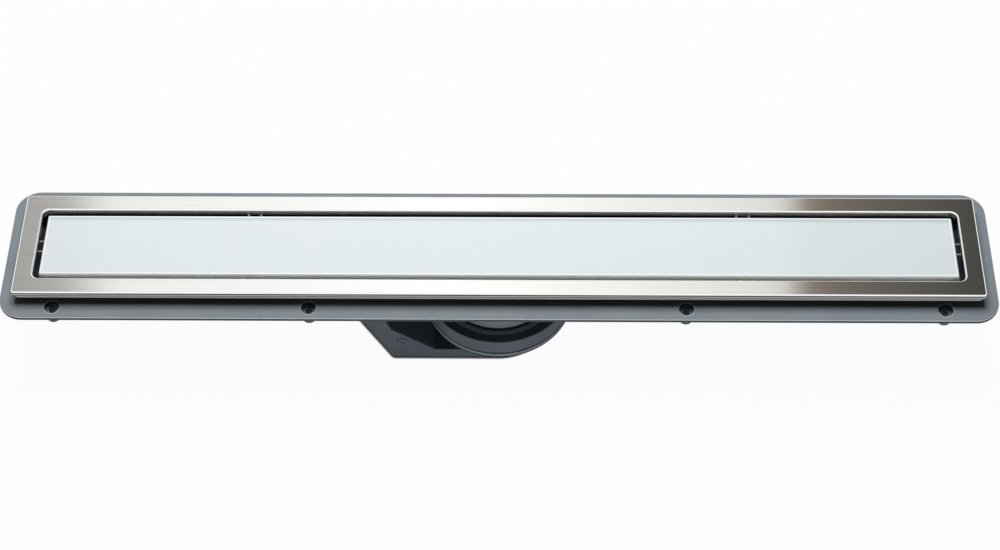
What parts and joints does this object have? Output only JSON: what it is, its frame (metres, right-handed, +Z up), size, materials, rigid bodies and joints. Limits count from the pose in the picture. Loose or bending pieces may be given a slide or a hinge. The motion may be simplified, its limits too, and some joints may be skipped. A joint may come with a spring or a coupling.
{
  "type": "linear shower drain",
  "caption": "Linear shower drain: flanged plastic channel, steel frame round a white glass panel, and a low trap that turns on the channel's neck to aim its side outlet.",
  "frame": {"origin": "on the axis of the channel's neck, at the underside of the trap's base", "axes": "+X along the channel, +Y towards the side that the outlet faces at rest, +Z up"},
  "size_m": [0.567, 0.1054, 0.0702],
  "materials": {
    "grey_plastic": "fine moulded grain",
    "steel": "brushed along the channel",
    "white_glass": "polished, white paint on the back",
    "black_rubber": "plain"
  },
  "bodies": {
    "channel": {"channel_body": "grey_plastic", "neck_tube": "grey_plastic", "top_frame": "steel", "glass_panel": "white_glass", "panel_tray": "steel", "panel_foot_1": "black_rubber", "panel_foot_2": "black_rubber", "panel_foot_3": "black_rubber", "panel_foot_4": "black_rubber", "panel_foot_5": "black_rubber", "panel_foot_6": "black_rubber", "panel_foot_7": "black_rubber", "panel_foot_8": "black_rubber", "panel_clip_1": "steel", "panel_clip_2": "steel", "panel_clip_3": "steel", "panel_clip_4": "steel", "panel_clip_5": "steel", "panel_clip_6": "steel", "hair_sieve": "steel", "dip_tube": "grey_plastic", "dip_tube_gasket": "black_rubber"},
    "trap": {"trap_shell": "grey_plastic", "trap_base": "grey_plastic", "weir_ring": "grey_plastic", "neck_seal": "black_rubber", "seal_retainer": "grey_plastic", "outlet_spigot": "grey_plastic"}
  },
  "joints": [
    {"name": "trap_swivel", "type": "hinge", "parent": "channel", "child": "trap", "pos_m": [0, 0, 0.03], "axis": [0, 0, 1], "continuous": true}
  ]
}
